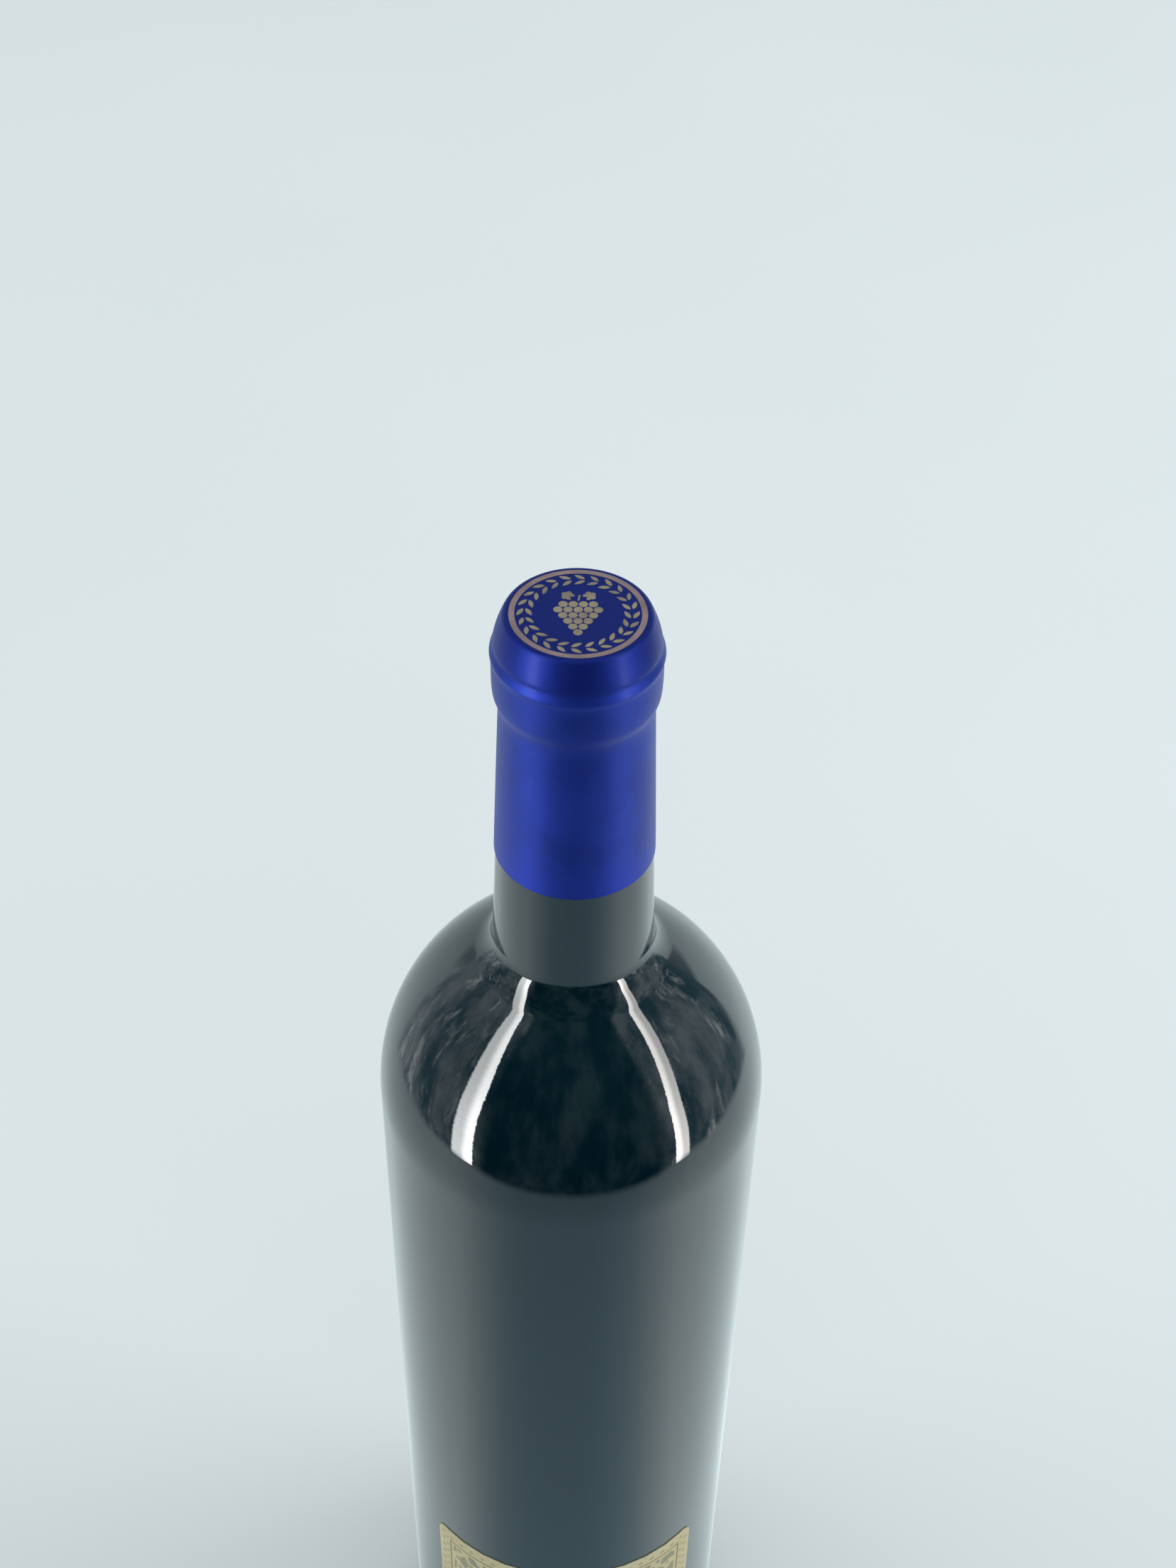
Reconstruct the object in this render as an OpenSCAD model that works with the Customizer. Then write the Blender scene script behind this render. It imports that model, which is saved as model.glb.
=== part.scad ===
// Wine bottle with high, round shoulders: a dark glass bottle that stands on a ring round its punt,
// a foil capsule drawn over the mouth and neck, and a paper label low on the front.
// The bottle is shut and its glass is too dark to see into, so the glass is one solid piece.
// Millimetres. The axis is Z, the bottle stands on Z = 0, and the label faces -Y.

/* [Body] */
// Height of the closed bottle, to the top of the capsule
bottle_h = 320; // [300:1:400]
// Diameter at the widest place, where the shoulder meets the body
body_d = 76.5; // [66:0.5:92]
// Diameter of the body just above the base's rounded edge
base_d = 72; // [62:0.5:88]
// Rounding of the outer edge of the base
base_round = 5; // [3:0.5:8]

/* [Shoulder] */
// Distance from the bottle's top down to its widest place
shoulder_drop = 119; // [98:0.5:150]
// Radius of the shoulder's curve
shoulder_round = 44; // [36:0.5:56]
// Radius of the hollow curve between neck and shoulder
blend_round = 9; // [6:0.5:28]

/* [Neck and finish] */
// Diameter of the glass finish, the band round the mouth
finish_d = 29.5; // [25:0.5:34]
// Height of the finish, from the rim down to the neck below it
finish_h = 20; // [17:0.5:26]
// Height of the finish's crowned upper side, which leans in towards the rim
crown_h = 9; // [6:0.5:12]
// Height from the rim down to where the finish starts to turn in to the neck
band_h = 14.5; // [12.5:0.5:15.5]
// How far the neck just below the finish stands back from it
neck_inset = 1.15; // [0.5:0.05:2.5]
// Diameter of the neck where the hollow curve begins
neck_low_d = 30.6; // [25:0.1:34]

/* [Punt] */
// Width of the ring that the bottle stands on, between the punt and the base's rounded edge
ring_w = 6; // [3:0.5:8]
// Depth of the punt, the hollow in the base
punt_depth = 23; // [16:1:26]

/* [Capsule] */
// Length of the foil capsule, from its top down to its cut edge
capsule_len = 54; // [40:1:66]
// Thickness of the foil
foil_t = 0.2; // [0.15:0.05:0.4]
// Clearance between the foil and the glass
foil_gap = 0.05; // [0.02:0.01:0.1]

/* [Label] */
// Width of the label, measured round the body
label_w = 64.5; // [40:0.5:90]
// Height of the label
label_h = 60; // [40:1:90]
// Height of the label's lower edge above the base
label_low = 12; // [9:0.5:30]
// Rounding of the label's corners
label_round = 2.5; // [1:0.5:6]
// Thickness of the paper
paper_t = 0.2; // [0.1:0.05:0.4]
// Thickness of the glue film under the paper
glue_t = 0.03; // [0.02:0.01:0.1]

/* [Hidden] */
// Steps in which each arc of an outline is drawn
arc_steps = 20;
// Steps of a full circle
$fn = 64;

// Finish: radius of its crowned side, of its rim's edge, and of the two curves at its foot
crown_round = 20;
rim_round = 0.8;
foot_round = 6;
foot_limit = (pow(neck_inset, 2) + pow(finish_h - band_h, 2)) / (4 * neck_inset);
foot_r = min(foot_round, 0.95 * foot_limit);
// Height of the glass rim, under the capsule's top disc
rim_z = bottle_h - foil_t - foil_gap;

// Height of the widest place, and how far the body's side leans from upright
widest_z = bottle_h - shoulder_drop;
body_lean = atan((body_d - base_d) / 2 / (widest_z - base_round));

// Centre of the shoulder's curve, and of the hollow curve for a neck with upright sides
shoulder_c = [body_d / 2 - shoulder_round, widest_z];
function hollow_c(x) =
    [x, widest_z + sqrt(pow(shoulder_round + blend_round, 2) - pow(x - shoulder_c.x, 2))];
upright_c = hollow_c(neck_low_d / 2 + blend_round);
// How far the neck's side leans, and the centre of the hollow curve that just touches it
neck_lean = atan((neck_low_d / 2 - finish_d / 2 + neck_inset) / (rim_z - finish_h - upright_c.y));
blend_c = hollow_c(neck_low_d / 2 + blend_round * cos(neck_lean));
neck_low_z = blend_c.y - blend_round * sin(neck_lean);
// Direction from the shoulder's centre to where the two curves meet
meet_angle = atan2(blend_c.y - shoulder_c.y, blend_c.x - shoulder_c.x);

// Radius of the punt at its mouth, radius of its dome, and height of the dome's centre
punt_r = base_d / 2 - base_round - ring_w;
dome_r = (pow(punt_r, 2) + pow(punt_depth, 2)) / (2 * punt_depth);
dome_z = punt_depth - dome_r;

// Radius of the body's side, and of the neck's side, at the height z
function body_r(z) = base_d / 2 + (z - base_round) * tan(body_lean);
function neck_r(z) = neck_low_d / 2 - (z - neck_low_z) * tan(neck_lean);

// Points of an arc of radius r round the point c, from angle a to angle b
function arc(c, r, a, b) =
    [for (i = [0 : arc_steps]) let (t = a + (b - a) * i / arc_steps) c + r * [cos(t), sin(t)]];

// Centres of the finish's curves, from the rim down: edge, crowned side, and the two at its foot
crown_c = [finish_d / 2 - crown_round, rim_z - crown_h];
edge_c = let (z = rim_z - rim_round)
    [crown_c.x + sqrt(pow(crown_round - rim_round, 2) - pow(z - crown_c.y, 2)), z];
crown_angle = atan2(edge_c.y - crown_c.y, edge_c.x - crown_c.x);
turn_in_c = [finish_d / 2 - foot_r, rim_z - band_h];
turn_out_c = let (z = rim_z - finish_h)
    [neck_r(z - foot_r * sin(neck_lean)) + foot_r * cos(neck_lean), z];
// From one centre to the other at the foot, and the lean of the stretch that joins the two curves
foot_span = turn_out_c - turn_in_c;
foot_lean = -atan2(foot_span.y, foot_span.x) - acos(min(1, 2 * foot_r / norm(foot_span)));

// Outline of the bottle's side from the rim to the body, standing e proud of the glass
function side(e) = concat(
    [[0, rim_z + e]],
    arc(edge_c, rim_round + e, 90, crown_angle),
    arc(crown_c, crown_round + e, crown_angle, 0),
    arc(turn_in_c, foot_r + e, 0, -foot_lean),
    arc(turn_out_c, foot_r - e, 180 - foot_lean, 180 + neck_lean),
    arc(blend_c, blend_round - e, 180 + neck_lean, 180 + meet_angle),
    arc(shoulder_c, shoulder_round + e, meet_angle, -body_lean)
);

module glass() {
    color([0.06, 0.1, 0.1]) rotate_extrude() polygon(concat(
        side(0),
        arc([base_d / 2 - base_round, base_round], base_round, -body_lean, -90),
        arc([0, dome_z], dome_r, -asin(dome_z / dome_r), 90)
    ));
}

module capsule() {
    color([0.1, 0.13, 0.62]) rotate_extrude() intersection() {
        difference() {
            polygon(concat(side(foil_gap + foil_t), [[0, 0]]));
            polygon(concat(side(foil_gap), [[0, 0]]));
        }
        translate([0, bottle_h - capsule_len]) square([body_d, capsule_len]);
    }
}

// Angle that the label takes up round the body
label_turn = label_w / body_r(label_low + label_h / 2) * 180 / PI;

module label() {
    low = label_low;
    top = label_low + label_h;
    color([0.8, 0.76, 0.58]) difference() {
        rotate([0, 0, -90 - label_turn / 2]) rotate_extrude(angle = label_turn) polygon([
            [body_r(low) + glue_t, low],
            [body_r(low) + glue_t + paper_t, low],
            [body_r(top) + glue_t + paper_t, top],
            [body_r(top) + glue_t, top]
        ]);
        for (end = [-1, 1]) {
            label_corner(end, low, 1);
            label_corner(end, top, -1);
        }
    }
}

// What rounding takes off the label's corner at the height z: end is -1 or 1 for the label's left
// or right end, and up is 1 at its lower edge and -1 at its upper edge
module label_corner(end, z, up) {
    margin = 1;
    rotate([0, 0, -90 + end * label_turn / 2]) translate([body_r(z) / 2, 0, z])
        rotate([90, 0, 90]) linear_extrude(body_r(z)) difference() {
            translate([end * (margin - label_round) / 2, up * (label_round - margin) / 2])
                square(label_round + margin, center = true);
            translate([-end * label_round, up * label_round]) circle(label_round);
        }
}

glass();
capsule();
label();
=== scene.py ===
import math

import bmesh
import bpy
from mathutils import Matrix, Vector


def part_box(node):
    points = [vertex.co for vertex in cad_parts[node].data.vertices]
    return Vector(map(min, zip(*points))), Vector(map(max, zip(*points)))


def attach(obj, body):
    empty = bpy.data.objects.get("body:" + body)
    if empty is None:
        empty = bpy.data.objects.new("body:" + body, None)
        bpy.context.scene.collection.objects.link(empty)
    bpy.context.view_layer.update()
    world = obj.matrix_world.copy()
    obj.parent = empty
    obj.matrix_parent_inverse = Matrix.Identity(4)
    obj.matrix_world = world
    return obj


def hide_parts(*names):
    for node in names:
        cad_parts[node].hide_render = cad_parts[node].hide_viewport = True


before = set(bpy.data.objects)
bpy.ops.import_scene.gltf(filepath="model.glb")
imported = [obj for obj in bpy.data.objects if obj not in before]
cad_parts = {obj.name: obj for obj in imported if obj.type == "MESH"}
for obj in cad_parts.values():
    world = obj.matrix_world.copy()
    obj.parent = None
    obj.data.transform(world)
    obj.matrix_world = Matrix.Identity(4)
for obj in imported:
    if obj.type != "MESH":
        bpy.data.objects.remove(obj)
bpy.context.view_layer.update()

MM = 0.001

# ---------------------------------------------------------------- sizes, in millimetres

capsule_box = [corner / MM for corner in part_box("capsule")]
glass_box = [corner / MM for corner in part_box("glass")]
label_box = [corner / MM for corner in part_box("label")]

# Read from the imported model
BOTTLE_H = capsule_box[1].z
CAPSULE_CUT = capsule_box[0].z
BODY_R = glass_box[1].x
LABEL_LOW = label_box[0].z
LABEL_H = label_box[1].z - label_box[0].z

# The outline's other sizes, named as in the part's source, with radii for its diameters
BASE_R = 36.0
BASE_ROUND = 5.0
SHOULDER_DROP = 119.0
SHOULDER_ROUND = 44.0
BLEND_ROUND = 9.0
FINISH_R = 14.75
FINISH_H = 20.0
CROWN_H = 9.0
CROWN_ROUND = 20.0
BAND_H = 14.5
NECK_INSET = 1.15
NECK_LOW_R = 15.3
RIM_ROUND = 0.8
FOOT_ROUND = 6.0
RING_W = 6.0
PUNT_DEPTH = 23.0
FOIL_T = 0.2
FOIL_GAP = 0.05
LABEL_W = 64.5
LABEL_ROUND = 2.5
PAPER_T = 0.2
GLUE_T = 0.03

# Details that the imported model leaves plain
ARC_STEPS = 22
RING_LIFT = 0.25          # bearing ring above the feet of its knurls
PUNT_EDGE_ROUND = 1.5
NUB_H = 1.3
NUB_R = 3.4
INK_T = 0.035             # how far the print stands proud of the foil

# Print on the capsule's top and on the label
CAP_RING = (10.85, 11.85)
WREATH_R = 9.15
CAP_BERRY_R = 0.8
LABEL_BERRY_R = 1.55
STAMP_SINK = 0.03         # how far stamping starts below the paper's face
STAMP_PROUD = 0.06
LAID_PITCH = 0.9          # between the lines of the laid paper
FRAME_IN = 3.8            # how far in from the label's edge its two frame lines run
FRAME_IN_INNER = 13.0

RIM_Z = BOTTLE_H - FOIL_T - FOIL_GAP
WIDEST_Z = BOTTLE_H - SHOULDER_DROP
BODY_LEAN = math.atan((BODY_R - BASE_R) / (WIDEST_Z - BASE_ROUND))


# ---------------------------------------------------------------- outline of the bottle

def arc(centre, radius, start, end, steps=ARC_STEPS):
    """Points of an arc in the plane of the outline, from one angle to another, in radians."""
    turn = [start + (end - start) * i / steps for i in range(steps + 1)]
    return [(centre[0] + radius * math.cos(t), centre[1] + radius * math.sin(t)) for t in turn]


shoulder_c = (BODY_R - SHOULDER_ROUND, WIDEST_Z)


def hollow_centre(x):
    """Centre, x from the axis, of the hollow curve that touches the shoulder's curve."""
    reach = SHOULDER_ROUND + BLEND_ROUND
    return (x, WIDEST_Z + math.sqrt(reach ** 2 - (x - shoulder_c[0]) ** 2))


upright_c = hollow_centre(NECK_LOW_R + BLEND_ROUND)
NECK_LEAN = math.atan(
    (NECK_LOW_R - FINISH_R + NECK_INSET) / (RIM_Z - FINISH_H - upright_c[1]))
blend_c = hollow_centre(NECK_LOW_R + BLEND_ROUND * math.cos(NECK_LEAN))
neck_low_z = blend_c[1] - BLEND_ROUND * math.sin(NECK_LEAN)
meet_angle = math.atan2(blend_c[1] - shoulder_c[1], blend_c[0] - shoulder_c[0])


def body_r(z):
    """Radius of the body's side at the height z."""
    return BASE_R + (z - BASE_ROUND) * math.tan(BODY_LEAN)


def neck_r(z):
    """Radius of the neck's side at the height z."""
    return NECK_LOW_R - (z - neck_low_z) * math.tan(NECK_LEAN)


crown_c = (FINISH_R - CROWN_ROUND, RIM_Z - CROWN_H)
edge_z = RIM_Z - RIM_ROUND
edge_c = (
    crown_c[0] + math.sqrt((CROWN_ROUND - RIM_ROUND) ** 2 - (edge_z - crown_c[1]) ** 2), edge_z)
crown_angle = math.atan2(edge_c[1] - crown_c[1], edge_c[0] - crown_c[0])
foot_limit = (NECK_INSET ** 2 + (FINISH_H - BAND_H) ** 2) / (4 * NECK_INSET)
foot_r = min(FOOT_ROUND, 0.95 * foot_limit)
turn_in_c = (FINISH_R - foot_r, RIM_Z - BAND_H)
turn_out_z = RIM_Z - FINISH_H
turn_out_c = (
    neck_r(turn_out_z - foot_r * math.sin(NECK_LEAN)) + foot_r * math.cos(NECK_LEAN), turn_out_z)
foot_span = (turn_out_c[0] - turn_in_c[0], turn_out_c[1] - turn_in_c[1])
foot_lean = (
    -math.atan2(foot_span[1], foot_span[0])
    - math.acos(min(1, 2 * foot_r / math.hypot(*foot_span))))


def side(proud):
    """Outline from the rim to the body, standing proud of the glass."""
    half_turn = math.pi
    return (
        [(0, RIM_Z + proud)]
        + arc(edge_c, RIM_ROUND + proud, half_turn / 2, crown_angle, 10)
        + arc(crown_c, CROWN_ROUND + proud, crown_angle, 0)
        + arc(turn_in_c, foot_r + proud, 0, -foot_lean, 12)
        + arc(turn_out_c, foot_r - proud, half_turn - foot_lean, half_turn + NECK_LEAN, 12)
        + arc(blend_c, BLEND_ROUND - proud, half_turn + NECK_LEAN, half_turn + meet_angle, 30)
        + arc(shoulder_c, SHOULDER_ROUND + proud, meet_angle, -BODY_LEAN, 34)
    )


def evened(points, longest):
    """The same outline without doubled points, and with no stretch longer than longest."""
    kept = [points[0]]
    for point in points[1:]:
        span = math.dist(kept[-1], point)
        if span < 0.02:
            continue
        start = kept[-1]
        parts = max(1, math.ceil(span / longest))
        for i in range(1, parts + 1):
            kept.append(tuple(a + (b - a) * i / parts for a, b in zip(start, point)))
    return kept


def glass_outline():
    """From the rim down the side, round the base and up the punt to its nub."""
    quarter = math.pi / 2
    low = arc((BASE_R - BASE_ROUND, BASE_ROUND), BASE_ROUND, -BODY_LEAN, -quarter, 16)
    low = [(x, max(z, RING_LIFT)) for x, z in low]
    punt_r = BASE_R - BASE_ROUND - RING_W
    dome_r = (punt_r ** 2 + PUNT_DEPTH ** 2) / (2 * PUNT_DEPTH)
    dome_z = PUNT_DEPTH - dome_r
    edge_top = RING_LIFT + PUNT_EDGE_ROUND
    wall_r = math.sqrt(dome_r ** 2 - (edge_top - dome_z) ** 2)
    edge = arc((wall_r + PUNT_EDGE_ROUND, edge_top), PUNT_EDGE_ROUND, -quarter, -2 * quarter, 10)
    dome = arc((0, dome_z), dome_r, math.asin((edge_top - dome_z) / dome_r), quarter, 40)
    dome = [(x, z - NUB_H * math.exp(-(x / NUB_R) ** 2)) for x, z in dome]
    dome[-1] = (0, dome[-1][1])
    return evened(side(0) + low + edge + dome, 2.4)


def capsule_outline():
    """The foil's outer side down to the cut edge, and back up its inner side."""
    def above_cut(points):
        kept = []
        for start, end in zip(points, points[1:]):
            kept.append(start)
            if end[1] < CAPSULE_CUT:
                share = (start[1] - CAPSULE_CUT) / (start[1] - end[1])
                kept.append((start[0] + (end[0] - start[0]) * share, CAPSULE_CUT))
                break
        return kept

    outer = evened(above_cut(side(FOIL_GAP + FOIL_T)), 0.7)
    inner = evened(above_cut(side(FOIL_GAP)), 2.5)
    beaded = []
    for x, z in outer:
        down = BOTTLE_H - z
        if 12 < down < 28:
            near = [(p, math.exp(-((q - z) / 1.6) ** 2)) for p, q in outer if q < BOTTLE_H - 9]
            x = sum(p * w for p, w in near) / sum(w for p, w in near)
        swell = 0.3 * math.exp(-((down - 7.9) / 0.75) ** 2)
        swell -= 0.17 * math.exp(-((down - 6.3) / 0.5) ** 2)
        beaded.append((x + swell if x > 0 else 0, z))
    return beaded + inner[::-1]


# ---------------------------------------------------------------- node trees

class Value:
    """A socket of a node tree. Sums on it add Math nodes."""

    def __init__(self, net, socket):
        self.net = net
        self.socket = socket

    def maths(self, operation, *terms):
        return self.net.add("ShaderNodeMath", {"operation": operation}, dict(enumerate(terms)))

    def __add__(self, other):
        return self.maths("ADD", self, other)

    def __radd__(self, other):
        return self.maths("ADD", other, self)

    def __sub__(self, other):
        return self.maths("SUBTRACT", self, other)

    def __rsub__(self, other):
        return self.maths("SUBTRACT", other, self)

    def __mul__(self, other):
        return self.maths("MULTIPLY", self, other)

    def __truediv__(self, other):
        return self.maths("DIVIDE", self, other)

    def __mod__(self, other):
        return self.maths("FLOORED_MODULO", self, other)

    def __gt__(self, other):
        return self.maths("GREATER_THAN", self, other)

    def __lt__(self, other):
        return self.maths("LESS_THAN", self, other)

    def __abs__(self):
        return self.maths("ABSOLUTE", self)

    def __neg__(self):
        return self.maths("MULTIPLY", self, -1)

    def floor(self):
        return self.maths("FLOOR", self)

    def root(self):
        return self.maths("SQRT", self)

    def sin(self):
        return self.maths("SINE", self)

    def cos(self):
        return self.maths("COSINE", self)

    def least(self, other):
        return self.maths("MINIMUM", self, other)

    def most(self, other):
        return self.maths("MAXIMUM", self, other)

    def rise(self, low, high, to_low=0.0, to_high=1.0):
        """Goes smoothly from to_low at low to to_high at high, and stays there outside."""
        return self.net.add(
            "ShaderNodeMapRange", {"interpolation_type": "SMOOTHSTEP"},
            {0: self, 1: low, 2: high, 3: to_low, 4: to_high})


class Net:
    """A node tree, and the one way in which nodes are added to it."""

    def __init__(self, tree):
        self.tree = tree

    def add(self, kind, settings=None, inputs=None, out=0):
        """Adds a node: its settings first, then the values or links of its sockets."""
        node = self.tree.nodes.new(kind)
        for name, value in (settings or {}).items():
            setattr(node, name, value)
        for name, value in (inputs or {}).items():
            socket = node.inputs[name]
            if isinstance(value, Value):
                self.tree.links.new(value.socket, socket)
            elif socket.type == "RGBA" and len(value) == 3:
                socket.default_value = (*value, 1)
            else:
                socket.default_value = value
        return Value(self, node.outputs[out])

    def parts(self, vector):
        """The three numbers of a vector."""
        first = self.add("ShaderNodeSeparateXYZ", None, {0: vector})
        node = first.socket.node
        return [Value(self, node.outputs[i]) for i in range(3)]

    def vector(self, x, y, z):
        return self.add("ShaderNodeCombineXYZ", None, {0: x, 1: y, 2: z})

    def stretched(self, vector, x, y, z):
        """A vector with each of its numbers scaled."""
        return self.add(
            "ShaderNodeVectorMath", {"operation": "MULTIPLY"}, {0: vector, 1: (x, y, z)})

    def noise(self, vector, scale, detail=2.0, rough=0.5, distortion=0.0):
        return self.add("ShaderNodeTexNoise", None, {
            "Vector": vector, "Scale": scale, "Detail": detail,
            "Roughness": rough, "Distortion": distortion})

    def mixed(self, share, first, second):
        """A colour between two colours."""
        return self.add(
            "ShaderNodeMix", {"data_type": "RGBA"}, {0: share, 6: first, 7: second}, 2)


def new_shape_tree(name, inputs):
    """A Geometry Nodes tree with named inputs. Returns its net and its inputs by name."""
    tree = bpy.data.node_groups.new(name, "GeometryNodeTree")
    tree.interface.new_socket("Geometry", in_out="INPUT", socket_type="NodeSocketGeometry")
    for title, kind in inputs:
        tree.interface.new_socket(title, in_out="INPUT", socket_type="NodeSocket" + kind)
    tree.interface.new_socket("Geometry", in_out="OUTPUT", socket_type="NodeSocketGeometry")
    net = Net(tree)
    given = tree.nodes.new("NodeGroupInput")
    return net, {title: Value(net, given.outputs[title]) for title, kind in inputs}


def close_shape_tree(net, shape, material):
    """Ends a tree with its instances realized and its material set."""
    whole = net.add("GeometryNodeRealizeInstances", None, {0: shape})
    painted = net.add("GeometryNodeSetMaterial", None, {"Geometry": whole, "Material": material})
    out = net.tree.nodes.new("NodeGroupOutput")
    net.tree.links.new(painted.socket, out.inputs[0])
    return net.tree


def link(name, mesh):
    piece = bpy.data.objects.new(name, mesh)
    bpy.context.scene.collection.objects.link(piece)
    return piece


def faced_out(mesh):
    """Turns the mesh's faces so that they all look outwards."""
    shell = bmesh.new()
    shell.from_mesh(mesh)
    bmesh.ops.recalc_face_normals(shell, faces=shell.faces)
    shell.to_mesh(mesh)
    shell.free()
    return mesh


def mesh_of(name, verts, faces=()):
    mesh = bpy.data.meshes.new(name)
    mesh.from_pydata(verts, [], faces)
    return mesh


def in_metres(point):
    return tuple(v * MM for v in point)


def grid_faces(columns, rows):
    """Four-sided faces over rows of points, columns + 1 points in each row."""
    across = columns + 1
    return [
        (j * across + i, j * across + i + 1, (j + 1) * across + i + 1, (j + 1) * across + i)
        for j in range(rows) for i in range(columns)]


def map_points(mesh, spread):
    """Gives the mesh a UV map, from one place for each of its points."""
    uv = mesh.uv_layers.new(name="UVMap")
    for loop in mesh.loops:
        uv.data[loop.index].uv = spread[loop.vertex_index]


def closed_loop(name, sections):
    """A closed loop of four-cornered sections, in millimetres, joined side by side."""
    count = len(sections)
    faces = []
    for i in range(count):
        a = 4 * i
        b = 4 * ((i + 1) % count)
        for k in range(4):
            m = (k + 1) % 4
            faces.append((a + k, a + m, b + m, b + k))
    verts = [in_metres(corner) for section in sections for corner in section]
    return faced_out(mesh_of(name, verts, faces))


def grown(name, tree, values):
    """Runs a Geometry Nodes tree on a new piece and keeps the result as a plain mesh."""
    host = link(name + "_host", bpy.data.meshes.new(name + "_host"))
    modifier = host.modifiers.new("Shape", "NODES")
    modifier.node_group = tree
    names = {
        item.name: item.identifier for item in tree.interface.items_tree
        if item.in_out == "INPUT"}
    for title, value in values.items():
        modifier[names[title]] = value
    host.update_tag()
    graph = bpy.context.evaluated_depsgraph_get()
    mesh = bpy.data.meshes.new_from_object(host.evaluated_get(graph), depsgraph=graph)
    host.modifiers.remove(modifier)
    bpy.data.objects.remove(host)
    mesh.name = name
    return link(name, faced_out(mesh))


def pattern_source(name, mesh):
    """An object that a tree reads and that isn't shown."""
    source = link(name, mesh)
    source.hide_render = True
    return source


# ---------------------------------------------------------------- materials

def new_material(name):
    """A material with its net, its Principled shader and its Object coordinates."""
    material = bpy.data.materials.new(name)
    material.use_nodes = True
    net = Net(material.node_tree)
    shader = material.node_tree.nodes["Principled BSDF"]
    place = net.add("ShaderNodeTexCoord", None, None, "Object")
    return material, net, shader, place


def feed(net, shader, **sockets):
    """Sets or links the shader's sockets. Names are written with _ for a space."""
    for name, value in sockets.items():
        socket = shader.inputs[name.replace("_", " ")]
        if isinstance(value, Value):
            net.tree.links.new(value.socket, socket)
        elif socket.type == "RGBA":
            socket.default_value = (*value, 1)
        else:
            socket.default_value = value


def bumped(net, height, depth):
    """A normal that follows a height of 0 to 1, depth metres deep."""
    return net.add("ShaderNodeBump", None, {"Height": height, "Distance": depth, "Strength": 1.0})


def glass_material():
    """Green-black bottle glass: near-mirror gloss, faint ripple, a few specks of dust."""
    material, net, shader, place = new_material("dark bottle glass")
    cloud = net.noise(place, 14, 3)
    ripple = net.noise(net.stretched(place, 1, 1, 0.55), 120, 2)
    grain = net.noise(place, 620, 2)
    deep = net.mixed(cloud.rise(0.35, 0.7), (0.001, 0.0105, 0.017), (0.0025, 0.0145, 0.021))
    cell = net.add("ShaderNodeTexVoronoi", None, {"Vector": place, "Scale": 62, "Randomness": 1.0})
    pick = Value(net, cell.socket.node.outputs["Color"])
    chance = net.parts(pick)[0]
    speck = (cell < (0.007 + chance * 0.011)) * (chance > 0.55)
    smear = net.noise(net.stretched(place, 1, 1, 0.3), 38, 5, 0.62, 0.7).rise(0.5, 0.85)
    feed(
        net, shader,
        Base_Color=net.mixed(speck, deep, (0.62, 0.64, 0.62)),
        Roughness=0.018 + smear * 0.03 + speck * 0.6,
        IOR=1.62,
        Normal=bumped(net, ripple * 0.8 + grain * 0.2, 0.0000075),
    )
    return material


def foil_material():
    """Satin blue foil: a metal lacquer with fine draw lines, soft mottle, painted shade on the top
    and crown, and lighter patches on the bead that are partly wear and partly painted highlight.
    """
    material, net, shader, place = new_material("satin blue foil")
    z = net.parts(place)[2]
    down = (BOTTLE_H * MM - z) / MM
    mottle = net.noise(place, 95, 4, 0.6)
    drawn = net.noise(net.stretched(place, 1, 1, 0.06), 900, 2)
    orange = net.noise(place, 1700, 2)
    rub = net.noise(place, 260, 4, 0.65)
    blue = net.mixed(mottle.rise(0.3, 0.7), (0.008, 0.025, 0.235), (0.012, 0.033, 0.30))
    # Lighter patches on the bead and the band below it: partly wear, partly painted highlight.
    wear_and_highlight = rub.rise(0.6, 0.82) * down.rise(5.2, 7.4) * down.rise(16, 9)
    low = down.rise(44, 54)
    blue = net.mixed(low * 0.35, blue, (0.012, 0.03, 0.38))
    # Painted shade: the top and the crown, down to the groove, are made darker.
    blue = net.mixed(down.rise(7.0, 5.8) * 0.7, blue, (0.004, 0.014, 0.17))
    feed(
        net, shader,
        Base_Color=net.mixed(wear_and_highlight * 0.2, blue, (0.05, 0.08, 0.36)),
        Metallic=0.9,
        Roughness=0.46 + mottle * 0.08 + drawn * 0.05,
        Coat_Weight=0.14 - rub * 0.06,
        Coat_Roughness=0.27,
        Normal=bumped(net, drawn * 0.45 + orange * 0.35 + rub * 0.2, 0.000014),
    )
    return material


def ink_material(name, light, dark, roughness):
    """Gold print: metal ink, broken up by the surface under it."""
    material, net, shader, place = new_material(name)
    cover = net.noise(place, 1500, 4, 0.7)
    patch = net.noise(place, 240, 3)
    colour = net.mixed(patch.rise(0.3, 0.7), light, dark)
    feed(
        net, shader,
        Base_Color=net.mixed(cover.rise(0.62, 0.8) * 0.5, colour, dark),
        Metallic=0.35,
        Roughness=roughness + cover * 0.15,
        Normal=bumped(net, cover, 0.00002),
    )
    return material


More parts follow.
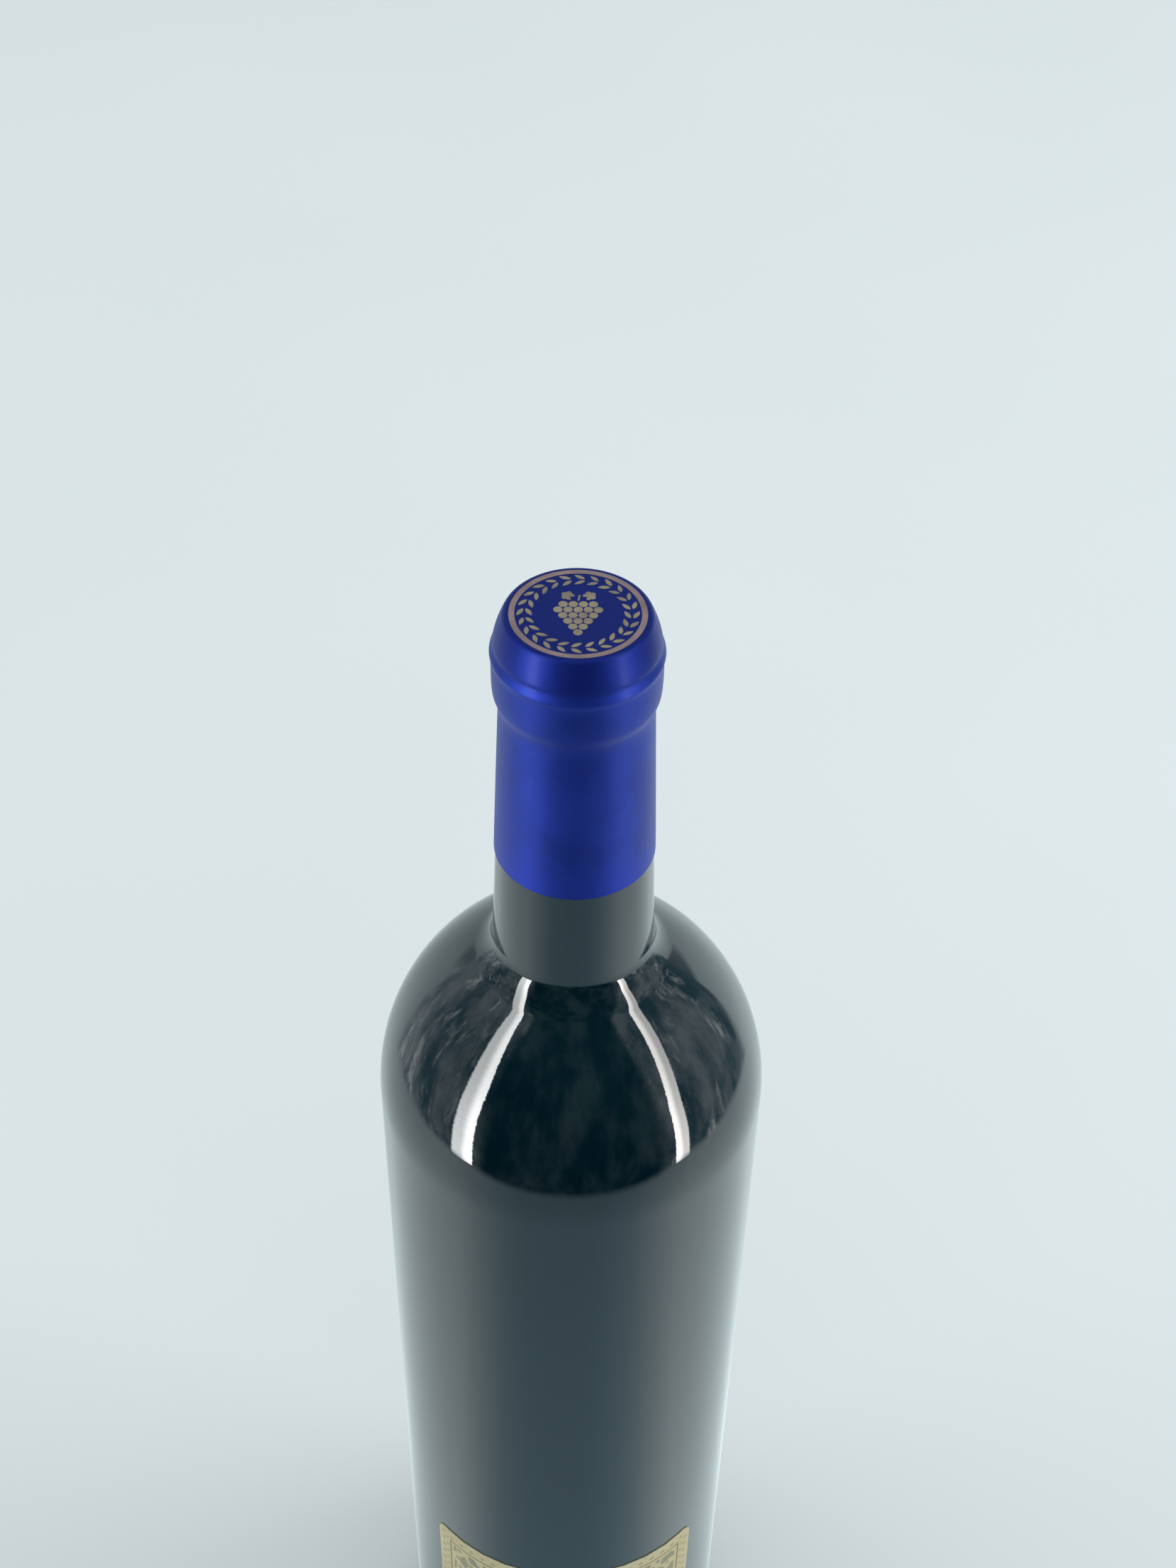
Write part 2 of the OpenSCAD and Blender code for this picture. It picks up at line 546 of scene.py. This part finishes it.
def paper_material():
    """Cream laid paper with a gold-brown frame and a mottled ornament, no lettering."""
    material, net, shader, place = new_material("cream label paper")
    spread = net.add("ShaderNodeUVMap", {"uv_map": "UVMap"})
    across, up, _ = net.parts(spread)
    x = (across - 0.5) * LABEL_W
    z = up * LABEL_H
    inset = (LABEL_W / 2 - abs(x)).least(LABEL_H - z).least(z)
    fibre = net.noise(net.stretched(place, 1, 1, 2.5), 700, 4, 0.6)
    tone = net.noise(place, 60, 3)
    laid = (z * 2 * math.pi / LAID_PITCH).sin() * 0.5 + 0.5

    paper = net.mixed(tone.rise(0.3, 0.7), (0.75, 0.655, 0.385), (0.83, 0.735, 0.46))
    paper = net.mixed(fibre.rise(0.55, 0.8) * 0.3, paper, (0.52, 0.47, 0.3))

    # Scrolling ornament in the band inside the frame
    wander = net.noise(place, 130, 2)
    swirl = ((x * 0.92 + wander * 5).sin() * (z * 0.92 + wander * 4).sin()).rise(0.05, 0.35)
    sprig = ((x * 1.84 - wander * 6).cos() * (z * 1.84).cos()).rise(0.35, 0.6)
    band = inset.rise(FRAME_IN + 0.8, FRAME_IN + 1.1)
    band = band * inset.rise(FRAME_IN_INNER - 0.6, FRAME_IN_INNER - 1.0)
    corner = inset.rise(0.9, 1.2) * inset.rise(3.3, 3.0)
    ornament = swirl.most(sprig) * band
    beads = ((x * 2.2).sin() * (z * 2.2).sin()).rise(0.1, 0.35) * corner
    olive = net.mixed(wander.rise(0.35, 0.65), (0.30, 0.29, 0.155), (0.24, 0.25, 0.19))
    paper = net.mixed(ornament * 0.75, paper, olive)
    paper = net.mixed(beads * 0.55, paper, (0.42, 0.36, 0.2))
    lines = (abs(inset - FRAME_IN) < 0.22) + (abs(inset - FRAME_IN_INNER) < 0.16)
    paper = net.mixed(lines.least(1) * 0.8, paper, (0.25, 0.17, 0.07))
    edge = inset.rise(0.45, 0.0)
    paper = net.mixed(edge * 0.35, paper, (0.8, 0.77, 0.62))
    feed(
        net, shader,
        Base_Color=paper,
        Roughness=0.62 + fibre * 0.15 - ornament * 0.12,
        IOR=1.45,
        Normal=bumped(net, fibre * 0.5 + laid * 0.2 + ornament * 0.3, 0.00005),
    )
    return material


# ---------------------------------------------------------------- turned pieces

def turned_tree(name, relief):
    """A tree that turns an outline round the axis. relief gives how far a point stands out."""
    net, given = new_shape_tree(name, [
        ("Outline", "Object"), ("Outline Points", "Int"), ("Steps Round", "Int"),
        ("Relief", "Float"), ("Seed", "Float"), ("Material", "Material")])
    outline = net.add(
        "GeometryNodeObjectInfo", {"transform_space": "ORIGINAL"},
        {"Object": given["Outline"]}, "Geometry")
    grid = net.add("GeometryNodeMeshGrid", None, {
        "Size X": 1.0, "Size Y": 1.0,
        "Vertices X": given["Steps Round"] + 1, "Vertices Y": given["Outline Points"]}, "Mesh")
    spread = Value(net, grid.socket.node.outputs["UV Map"])
    index = net.add("GeometryNodeInputIndex")
    row = index % given["Outline Points"]
    column = (index / given["Outline Points"]).floor()
    place = net.add("GeometryNodeInputPosition")
    drawn = net.add(
        "GeometryNodeSampleIndex", {"data_type": "FLOAT_VECTOR", "domain": "POINT"},
        {"Geometry": outline, "Value": place, "Index": row})
    radius, _, height = net.parts(drawn)
    turn = column / given["Steps Round"] * (2 * math.pi)
    stand = relief(net, turn, radius, height, given) * given["Relief"]
    out = radius + stand
    moved = net.add("GeometryNodeSetPosition", None, {
        "Geometry": grid, "Position": net.vector(turn.sin() * out, turn.cos() * out, height)})
    mapped = net.add(
        "GeometryNodeStoreNamedAttribute", {"data_type": "FLOAT2", "domain": "CORNER"},
        {"Geometry": moved, "Name": "UVMap", "Value": spread})
    closed = net.add("GeometryNodeMergeByDistance", None, {"Geometry": mapped, "Distance": 2e-6})
    smooth = net.add("GeometryNodeSetShadeSmooth", {"domain": "FACE"}, {"Geometry": closed})
    fold = net.add("GeometryNodeInputMeshEdgeAngle", None, None, "Unsigned Angle")
    crisp = net.add("GeometryNodeSetShadeSmooth", {"domain": "EDGE"}, {
        "Geometry": smooth, "Selection": fold > math.radians(50), "Shade Smooth": False})
    return close_shape_tree(net, crisp, given["Material"])


def glass_relief(net, turn, radius, height, given):
    """Two mould seams at the bottle's sides, and the slight waviness of blown glass."""
    off_seam = abs(turn.cos()) * radius / MM
    seam = off_seam.rise(0.7, 0.0) * height.rise(0.004, 0.008)
    seam = seam * height.rise(WIDEST_Z * MM + 0.03, WIDEST_Z * MM - 0.01)
    where = net.vector(turn.sin() * radius, turn.cos() * radius, height + given["Seed"])
    wave = net.noise(where, 26, 1) - 0.5
    side_only = radius.rise(0.012, 0.016)
    return (seam * 0.35 + wave) * side_only


def foil_relief(net, turn, radius, height, given):
    """Creases where the foil is spun in under the finish, and a slight unevenness below."""
    down = (BOTTLE_H * MM - height) / MM
    round_x = turn.sin()
    round_y = turn.cos()
    creases = net.noise(
        net.vector(round_x * 7, round_y * 7, down * 0.16 + given["Seed"]), 1.6, 3, 0.55)
    foot = down.rise(13.0, 16.5) * down.rise(26.0, 19.0)
    flutes = net.noise(net.vector(round_x * 3, round_y * 3, down * 0.05), 1.3, 1)
    length = down.rise(16.0, 24.0) * down.rise(54.5, 50.0, 0.4, 1.0)
    ring = down.rise(17.6, 18.6) * down.rise(20.4, 19.4)
    outer = radius.rise(0.004, 0.011)
    relief = creases.rise(0.45, 0.8) * foot * 0.12 + flutes * length * 0.5 + ring * 0.045
    return relief * outer * down.rise(3.0, 7.0)


def turned_piece(name, points, steps, tree, relief, seed, material):
    """Turns an outline in millimetres round the axis. relief is in millimetres too."""
    outline = [(x * MM, 0, z * MM) for x, z in points]
    source = pattern_source(name + "_outline", mesh_of(name + "_outline", outline))
    piece = grown(name, tree, {
        "Outline": source, "Outline Points": len(points), "Steps Round": steps,
        "Relief": relief * MM, "Seed": seed, "Material": material})
    bpy.data.objects.remove(source)
    return piece


# ---------------------------------------------------------------- copies set in a ring

def ring_tree():
    """A tree that sets copies of one small piece in a ring round the axis."""
    net, given = new_shape_tree("Ring of copies", [
        ("Copy", "Object"), ("Count", "Int"), ("Radius", "Float"), ("Height", "Float"),
        ("Lean", "Float"), ("Size Change", "Float"), ("Seed", "Int"), ("Material", "Material")])
    places = net.add(
        "GeometryNodeMeshCircle", {"fill_type": "NONE"},
        {"Vertices": given["Count"], "Radius": given["Radius"]})
    lifted = net.add("GeometryNodeSetPosition", None, {
        "Geometry": places, "Offset": net.vector(0.0, 0.0, given["Height"])})
    copy = net.add(
        "GeometryNodeObjectInfo", {"transform_space": "ORIGINAL"},
        {"Object": given["Copy"], "As Instance": True}, "Geometry")
    index = net.add("GeometryNodeInputIndex")
    turn = index / given["Count"] * (2 * math.pi) + given["Lean"]
    size = net.add(
        "FunctionNodeRandomValue", {"data_type": "FLOAT"},
        {2: 1 - given["Size Change"], 3: 1 + given["Size Change"], "Seed": given["Seed"]}, 1)
    set_out = net.add("GeometryNodeInstanceOnPoints", None, {
        "Points": lifted, "Instance": copy, "Rotation": net.vector(0.0, 0.0, turn),
        "Scale": net.vector(size, size, 1.0)})
    return close_shape_tree(net, set_out, given["Material"])


def plates(name, shapes, thickness, place=None):
    """Thin closed plates from flat outlines in millimetres. place wraps them on a surface."""
    place = place or (lambda x, y, h: (x, y, h))
    verts = []
    faces = []
    for shape in shapes:
        first = len(verts)
        count = len(shape)
        verts += [place(x, y, 0) for x, y in shape]
        verts += [place(x, y, thickness) for x, y in shape]
        faces.append(tuple(first + i for i in range(count)))
        faces.append(tuple(first + count + i for i in range(count)))
        for i in range(count):
            j = (i + 1) % count
            faces.append((first + i, first + j, first + count + j, first + count + i))
    return faced_out(mesh_of(name, [in_metres(vert) for vert in verts], faces))


def disc(x, y, radius, points=18):
    return [
        (x + radius * math.cos(2 * math.pi * i / points),
         y + radius * math.sin(2 * math.pi * i / points)) for i in range(points)]


def leaf(x, y, length, width, turn, points=10):
    """A pointed leaf whose stalk end is at x, y and whose tip lies in the direction turn."""
    upper = []
    lower = []
    for i in range(points + 1):
        t = i / points
        half = width / 2 * math.sin(math.pi * t) ** 0.8 * (1.15 - 0.3 * t)
        upper.append((length * t, half))
        lower.append((length * t, -half))
    shape = upper + lower[-2:0:-1]
    c, s = math.cos(turn), math.sin(turn)
    return [(x + a * c - b * s, y + a * s + b * c) for a, b in shape]


def vine_leaf(x, y, size, turn):
    """A lobed leaf outline."""
    shape = []
    for i in range(40):
        a = 2 * math.pi * i / 40
        lobes = 0.72 + 0.24 * abs(math.cos(2.5 * a)) + 0.05 * math.cos(15 * a)
        notch = 1 - 0.55 * math.exp(-((a - math.pi) / 0.28) ** 2)
        shape.append((size * lobes * notch * math.cos(a), size * lobes * notch * math.sin(a)))
    c, s = math.cos(turn), math.sin(turn)
    return [(x + p * c - q * s, y + p * s + q * c) for p, q in shape]


def grape_bunch(x, y, berry):
    """Rows of berries that narrow downwards, a stalk and two leaves."""
    shapes = []
    for row, count in enumerate((4, 5, 4, 3, 2, 1)):
        for i in range(count):
            cx = (i - (count - 1) / 2) * berry * 2.16
            cy = 2.2 * berry - row * berry * 1.88
            shapes.append(disc(x + cx, y + cy, berry))
    top = y + 3.4 * berry
    shapes.append([
        (x - 0.22 * berry, top), (x + 0.22 * berry, top),
        (x + 0.5 * berry, top + 1.9 * berry), (x + 0.05 * berry, top + 1.9 * berry)])
    shapes.append(vine_leaf(x - 2.3 * berry, top + 1.65 * berry, 1.55 * berry, 0.8 * math.pi))
    shapes.append(vine_leaf(x + 2.4 * berry, top + 1.65 * berry, 1.55 * berry, 0.2 * math.pi))
    return shapes


def flat_ring(name, inner, outer, low, high, parts=128):
    """A closed ring with a rectangular section, round the axis."""
    corners = [(inner, low), (outer, low), (outer, high), (inner, high)]
    turns = [2 * math.pi * i / parts for i in range(parts)]
    return closed_loop(name, [
        [(r * math.sin(turn), r * math.cos(turn), z) for r, z in corners] for turn in turns])


def belongs(piece, slot, *nodes):
    """The piece rides on the bottle and may stand for nodes, which it hides. slot is not used."""
    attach(piece, "root")
    if nodes:
        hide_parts(*nodes)
    return piece


# ---------------------------------------------------------------- the bottle

dark_glass = glass_material()
blue_foil = foil_material()
cream_paper = paper_material()
cap_gold = ink_material("gold print on foil", (0.30, 0.25, 0.17), (0.19, 0.155, 0.12), 0.5)
cap_bronze = ink_material("bronze ring on foil", (0.27, 0.19, 0.18), (0.19, 0.14, 0.14), 0.52)
label_gold = ink_material("gold stamping on paper", (0.62, 0.46, 0.2), (0.42, 0.3, 0.13), 0.36)

glass = turned_piece(
    "bottle_glass", glass_outline(), 300, turned_tree("Turned glass", glass_relief),
    0.05, 0.31, dark_glass)
belongs(glass, "dark_glass", "glass")

capsule = turned_piece(
    "foil_capsule", capsule_outline(), 256, turned_tree("Turned foil", foil_relief),
    0.10, 2.7, blue_foil)
belongs(capsule, "blue_foil", "capsule")

ring_of_copies = ring_tree()

# Knurls on the bearing ring: low rounded bars that the bottle stands on
knurl = bpy.data.meshes.new("knurl")
bar = bmesh.new()
bmesh.ops.create_uvsphere(bar, u_segments=8, v_segments=5, radius=1.0)
for vert in bar.verts:
    vert.co.x *= 1.7 * MM
    vert.co.y *= 0.42 * MM
    vert.co.z *= 0.5 * MM
bar.to_mesh(knurl)
bar.free()
knurl_source = pattern_source("knurl_copy", knurl)
knurls = grown("base_knurls", ring_of_copies, {
    "Copy": knurl_source, "Count": 132, "Radius": (BASE_R - BASE_ROUND - RING_W / 2) * MM,
    "Height": 0.5 * MM, "Lean": 0.32, "Size Change": 0.08, "Seed": 4, "Material": dark_glass})
bpy.data.objects.remove(knurl_source)
for face in knurls.data.polygons:
    face.use_smooth = True
belongs(knurls, "dark_glass")

# Print on the capsule's top: ring, wreath of leaves and a bunch of grapes
cap_ring = link("capsule_ring", flat_ring(
    "capsule_ring", *CAP_RING, BOTTLE_H - INK_T, BOTTLE_H + INK_T))
cap_ring.data.materials.append(cap_bronze)
belongs(cap_ring, "blue_foil")

sprig_mesh = plates("sprig", [
    leaf(0.22, -1.1, 2.1, 0.8, math.radians(60)),
    leaf(-0.22, -1.1, 2.1, 0.8, math.radians(120)),
], 2 * INK_T)
sprig_source = pattern_source("sprig_copy", sprig_mesh)
wreath = grown("capsule_wreath", ring_of_copies, {
    "Copy": sprig_source, "Count": 24, "Radius": WREATH_R * MM, "Height": (BOTTLE_H - INK_T) * MM,
    "Lean": 0.0, "Size Change": 0.05, "Seed": 7, "Material": cap_gold})
bpy.data.objects.remove(sprig_source)
belongs(wreath, "blue_foil")

cap_grapes = link("capsule_grapes", plates(
    "capsule_grapes", grape_bunch(0, 0.7, CAP_BERRY_R), 2 * INK_T,
    lambda x, y, h: (x, y, BOTTLE_H - INK_T + h)))
cap_grapes.data.materials.append(cap_gold)
belongs(cap_grapes, "blue_foil")


# ---------------------------------------------------------------- the label

LABEL_MID_R = body_r(LABEL_LOW + LABEL_H / 2)


def on_label(x, z, proud):
    """A place on the body, x round from the front and z up from the label's lower edge."""
    height = LABEL_LOW + z
    radius = body_r(height) + proud
    turn = x / LABEL_MID_R
    return (radius * math.sin(turn), -radius * math.cos(turn), height)


def label_sheet(name, columns=150, rows=130):
    """A thin closed sheet round the front of the body, with rounded corners."""
    def half_width(z):
        near = min(z, LABEL_H - z)
        if near >= LABEL_ROUND:
            return LABEL_W / 2
        return LABEL_W / 2 - LABEL_ROUND + math.sqrt(LABEL_ROUND ** 2 - (LABEL_ROUND - near) ** 2)

    def height_at(share, x):
        z = share * LABEL_H
        scallop = 0.28 * (abs(math.cos(math.pi * x / 5.4)) - 0.75)
        return z + scallop * max(0.0, (z - LABEL_H + 3) / 3) * (abs(x) < LABEL_W / 2 - 3)

    verts = []
    spread = []
    for proud in (GLUE_T, GLUE_T + PAPER_T):
        for j in range(rows + 1):
            share = j / rows
            for i in range(columns + 1):
                x = (2 * i / columns - 1) * half_width(share * LABEL_H)
                z = min(height_at(share, x), LABEL_H)
                verts.append(in_metres(on_label(x, z, proud)))
                spread.append((x / LABEL_W + 0.5, z / LABEL_H))
    across = columns + 1
    layer = across * (rows + 1)
    faces = []
    for quad in grid_faces(columns, rows):
        faces.append(quad[::-1])
        faces.append(tuple(layer + v for v in quad))
    rim = list(range(columns))
    rim += [j * across + columns for j in range(rows)]
    rim += [rows * across + i for i in range(columns, 0, -1)]
    rim += [j * across for j in range(rows, 0, -1)]
    for a, b in zip(rim, rim[1:] + rim[:1]):
        faces.append((a, b, layer + b, layer + a))
    mesh = mesh_of(name, verts, faces)
    map_points(mesh, spread)
    shell = bmesh.new()
    shell.from_mesh(mesh)
    bmesh.ops.remove_doubles(shell, verts=shell.verts, dist=1e-7)
    bmesh.ops.recalc_face_normals(shell, faces=shell.faces)
    for face in shell.faces:
        face.smooth = True
    for edge in shell.edges:
        edge.smooth = len(edge.link_faces) == 2 and edge.calc_face_angle(0) < math.radians(50)
    shell.to_mesh(mesh)
    shell.free()
    return mesh


label = link("paper_label", label_sheet("paper_label"))
label.data.materials.append(cream_paper)
belongs(label, "cream_paper", "label")

paper_face = GLUE_T + PAPER_T
crest_piece = link("label_grapes", plates(
    "label_grapes", grape_bunch(0, LABEL_H / 2 + 1.5, LABEL_BERRY_R), STAMP_SINK + STAMP_PROUD,
    lambda x, y, h: on_label(x, y, paper_face - STAMP_SINK + h)))
crest_piece.data.materials.append(label_gold)
belongs(crest_piece, "cream_paper")


def label_frame(name, half_w, half_h, mid_z, width, steps=96):
    """A raised oval line on the label."""
    corners = [(0, -STAMP_SINK), (width, -STAMP_SINK), (width, STAMP_PROUD), (0, STAMP_PROUD)]
    turns = [2 * math.pi * i / steps for i in range(steps)]
    piece = link(name, closed_loop(name, [
        [on_label((half_w + out) * math.sin(turn), mid_z + (half_h + out) * math.cos(turn),
                  paper_face + proud) for out, proud in corners] for turn in turns]))
    piece.data.materials.append(label_gold)
    return belongs(piece, "cream_paper")


label_frame("label_oval_outer", 15.6, 15.2, LABEL_H / 2, 0.5)
label_frame("label_oval_inner", 14.2, 13.8, LABEL_H / 2, 0.28)


# ---------------------------------------------------------------- floor, light and camera

TABLE_REACH = 0.42        # how far the mirrored table reaches in front and at the sides
TABLE_FADE = 0.10
WEDGE = math.tan(math.radians(56))    # the table's sides spread this much behind the bottle
SWEEP_START = 1.25        # where the floor starts to curve up
SWEEP_FRONT = 2.8
SWEEP_HALF_W = 2.8
SWEEP_ROUND = 0.5
WALL_H = 0.35
STRIP_DISTANCE = 2.0
STRIP_EYE_Z = 0.23        # a height on the shoulder, from where the strips' directions count
STRIP_LOW = -27           # degrees from level
STRIP_HIGH = 74


def floor_material():
    """Matt pale floor, open from below."""
    material, net, shader, place = new_material("pale floor")
    soft = net.noise(place, 3.5, 2)
    below = net.add("ShaderNodeNewGeometry", None, None, "Backfacing")
    x, y, z = net.parts(place)
    far = (x * x + y * y).root().rise(1.15, 1.7, 1.0, 0.0) * z.rise(0.4, 0.8, 1.0, 0.0)
    feed(
        net, shader,
        Base_Color=net.mixed(soft.rise(0.3, 0.7), (0.745, 0.775, 0.782), (0.765, 0.79, 0.797)),
        Roughness=0.6,
        Specular_IOR_Level=0.25,
        Alpha=far * (1 - below),
    )
    return material


def glow_material(name):
    """A material still without nodes, and its net, for stage pieces that only glow."""
    material = bpy.data.materials.new(name)
    material.use_nodes = True
    material.node_tree.nodes.clear()
    return material, Net(material.node_tree)


def glowing(material, net, mask, colour, strength):
    """Ends the material: it glows where the mask is 1 and is clear where it is 0."""
    light = net.add("ShaderNodeEmission", None, {0: colour, 1: strength})
    clear = net.add("ShaderNodeBsdfTransparent")
    whole = net.add("ShaderNodeMixShader", None, {0: mask, 1: clear, 2: light})
    out = material.node_tree.nodes.new("ShaderNodeOutputMaterial")
    material.node_tree.links.new(whole.socket, out.inputs[0])
    material.cycles.emission_sampling = "NONE"
    return material


def mirrored_table_material():
    """What the glass mirrors of the table, as a glow: painted shade dims and cools it in front, it
    is bright at the sides, and painted contact shade darkens it round the bottle's foot.
    """
    material, net = glow_material("mirrored table")
    place = net.add("ShaderNodeTexCoord", None, None, "Object")
    x, y, z = net.parts(place)
    reach = (x * x + y * y).root()
    front = (-y / (reach + 0.001)).rise(0.35, 0.97)
    # Painted shade and light: the reflection is dimmer and cooler in front, brighter to the right
    # and dimmer behind.
    colour = net.mixed(front, (0.93, 1.08, 1.10), (0.41, 0.62, 0.71))
    right = (x / (reach + 0.001)).rise(0.1, 0.7) * 0.16 + (x * y).rise(0.0, 0.12) * 0.2
    back = (y / (reach + 0.001)).rise(0.62, 0.88) * 0.24
    past_disc = reach - (TABLE_REACH - front * 0.07)
    past_wedge = (abs(x) - y * WEDGE) * math.cos(math.atan(WEDGE))
    mask = past_disc.least(past_wedge).rise(0.0, TABLE_FADE, 1.0, 0.0)
    mask = mask * z.rise(0.45, 0.8, 1.0, 0.0)
    # Painted contact shade: the reflection darkens close round the bottle's foot.
    foot = reach.rise(0.03, 0.075, 0.72, 1.0)
    return glowing(material, net, mask, colour, (0.96 + right - back) * foot)


def sweep(name):
    """A flat floor that curves up behind the bottle to a low backdrop."""
    columns, rows = 40, 120
    path = []
    run = SWEEP_START + SWEEP_FRONT
    quarter = SWEEP_ROUND * math.pi / 2
    length = run + quarter + WALL_H
    for j in range(rows + 1):
        s = length * j / rows
        if s < run:
            path.append((s - SWEEP_FRONT, 0.0))
        elif s < run + quarter:
            t = (s - run) / SWEEP_ROUND
            path.append((SWEEP_START + SWEEP_ROUND * math.sin(t),
                         SWEEP_ROUND * (1 - math.cos(t))))
        else:
            path.append((SWEEP_START + SWEEP_ROUND, SWEEP_ROUND + s - run - quarter))
    verts = []
    for y, z in path:
        for i in range(columns + 1):
            verts.append((SWEEP_HALF_W * (2 * i / columns - 1), y, z))
    mesh = mesh_of(name, verts, grid_faces(columns, rows))
    for face in mesh.polygons:
        face.use_smooth = True
    return mesh


def only_mirrored(piece):
    """Stage light that shows in the bottle's gloss and nowhere else."""
    piece.visible_camera = False
    piece.visible_diffuse = False
    piece.visible_shadow = False
    piece.visible_transmission = False
    return piece


floor = link("floor", sweep("floor"))
floor.data.materials.append(floor_material())
floor.visible_glossy = False

mirrored_table = link("mirrored_table", sweep("mirrored_table"))
mirrored_table.data.materials.append(mirrored_table_material())
only_mirrored(mirrored_table)


def strip_material(name, cool, warm, low, high):
    """A tall strip of light: brightest along its inner edge and low down, ragged at the edges."""
    material, net = glow_material(name)
    across, up, _ = net.parts(net.add("ShaderNodeUVMap", {"uv_map": "UVMap"}))
    fray = net.noise(net.vector(across * 3, up * 60, 0.0), 1.0, 3, 0.6) - 0.5
    grain = net.noise(net.vector(across * 26, up * 90, 3.0), 1.0, 3, 0.7)
    edge = across + fray * 0.12
    core = edge.rise(0.4, 0.75, 0.5, 1.0)
    fall = up.rise(0.1, 0.55, 1.0, high / low)
    colour = net.mixed(grain.rise(0.4, 0.6), cool, warm)
    mask = edge.rise(0.06, 0.16) * edge.rise(0.94, 0.88) * up.rise(1.0, 0.9)
    return glowing(material, net, mask, colour, core * fall * (0.75 + grain * 0.5) * low)


def strip_light(name, side, outer, inner, material):
    """A tall curved sheet of light to one side, 1 for the right, that leans out high up.

    outer and inner give an edge's direction in degrees from the front: at eye level, and how it
    changes with the share of the height and with that share squared.
    """
    columns, rows = 6, 40
    verts = []
    spread = []
    for j in range(rows + 1):
        rise = STRIP_LOW + (STRIP_HIGH - STRIP_LOW) * j / rows
        share = max(0.0, rise) / 60
        ends = [at_eye + share * first + share ** 2 * second
                for at_eye, first, second in (outer, inner)]
        for i in range(columns + 1):
            turn = side * math.radians(ends[0] + (ends[1] - ends[0]) * i / columns)
            verts.append((
                STRIP_DISTANCE * math.sin(turn), -STRIP_DISTANCE * math.cos(turn),
                STRIP_EYE_Z + STRIP_DISTANCE * math.tan(math.radians(rise))))
            spread.append((i / columns, j / rows))
    mesh = mesh_of(name, verts, grid_faces(columns, rows))
    map_points(mesh, spread)
    mesh.materials.append(material)
    return only_mirrored(link(name, mesh))


strip_light("left_strip", -1, (67, -2, 15), (51, -6, 18), strip_material(
    "left strip glow", (0.93, 0.98, 1.0), (1.0, 1.0, 0.97), 18.0, 14.0))
strip_light("right_strip", 1, (67, 7, 17), (56.5, 6, 11), strip_material(
    "right strip glow", (0.95, 0.98, 1.0), (1.0, 0.93, 0.86), 18.0, 12.5))


def soft_light(name, place, size, power, colour, turn=0.0):
    """A large light that isn't mirrored. It faces down, turned towards -X by some degrees."""
    lamp = bpy.data.lights.new(name, "AREA")
    lamp.shape = "SQUARE"
    lamp.size = size
    lamp.energy = power
    lamp.color = colour
    holder = bpy.data.objects.new(name, lamp)
    bpy.context.scene.collection.objects.link(holder)
    holder.location = place
    holder.rotation_euler = (0.0, math.radians(turn), 0.0)
    holder.visible_camera = False
    holder.visible_glossy = False
    return holder


soft_light("overhead", (0.0, 1.0, 2.3), 2.4, 33.4, (0.95, 1.0, 1.0))
soft_light("left fill", (-0.95, 0.05, 1.0), 0.7, 2.1, (0.95, 1.0, 1.0), -46)
soft_light("right fill", (0.95, 0.05, 1.0), 0.7, 4.7, (0.97, 1.0, 1.0), 46)


def studio_world():
    """Pale all round for the camera, soft light for matt surfaces, a dim room for mirrors."""
    world = bpy.data.worlds.new("studio")
    world.use_nodes = True
    world.cycles.sampling_method = "NONE"
    bpy.context.scene.world = world
    net = Net(world.node_tree)
    world.node_tree.nodes.clear()
    path = net.add("ShaderNodeLightPath", None, None, "Is Camera Ray")
    glossy = Value(net, path.socket.node.outputs["Is Glossy Ray"])
    look = net.add("ShaderNodeTexCoord", None, None, "Generated")
    x, y, z = net.parts(look)
    clutter = net.noise(net.stretched(look, 1, 1, 0.5), 3.4, 4, 0.6)
    streak = net.noise(net.stretched(look, 1, 1, 0.22), 7.5, 5, 0.7, 0.4).rise(0.52, 0.8)
    room = net.mixed(clutter.rise(0.35, 0.75), (0.12, 0.23, 0.28), (0.95, 1.05, 1.1))
    room = net.mixed(streak * 0.85, room, (2.8, 2.9, 2.9))
    aside = abs(x) / ((x * x + y * y).root() + 0.001)
    ahead = net.mixed(clutter.rise(0.4, 0.75), (0.0, 0.02, 0.04), (0.15, 0.25, 0.27))
    outside = aside.rise(0.72, 0.84) + y.rise(-0.2, 0.1)
    room = net.mixed(outside.least(1), ahead, room)
    behind = y.rise(0.45, 0.7) * z.rise(0.75, 0.4)
    room = net.mixed(behind, room, (0.5, 0.56, 0.58))
    pale = net.add("ShaderNodeBackground", None, {0: (0.68, 0.745, 0.76), 1: 1.0})
    ambient = net.add("ShaderNodeBackground", None, {0: (0.60, 0.66, 0.68), 1: 0.55})
    dim = net.add("ShaderNodeBackground", None, {0: room, 1: 1.0})
    unseen = net.add("ShaderNodeMixShader", None, {0: glossy, 1: ambient, 2: dim})
    whole = net.add("ShaderNodeMixShader", None, {0: path, 1: unseen, 2: pale})
    out = world.node_tree.nodes.new("ShaderNodeOutputWorld")
    world.node_tree.links.new(whole.socket, out.inputs[0])


studio_world()

camera_data = bpy.data.cameras.new("camera")
camera_data.lens = 58.59
camera_data.sensor_width = 36
camera_data.clip_start = 0.02
camera_data.clip_end = 30
camera = bpy.data.objects.new("camera", camera_data)
bpy.context.scene.collection.objects.link(camera)
camera.location = (0.0, -0.33653, 0.59294)
camera.rotation_euler = [math.radians(angle) for angle in (47.1301, -0.8197, 0.3811)]
bpy.context.scene.camera = camera
bpy.context.scene.view_settings.view_transform = "Standard"
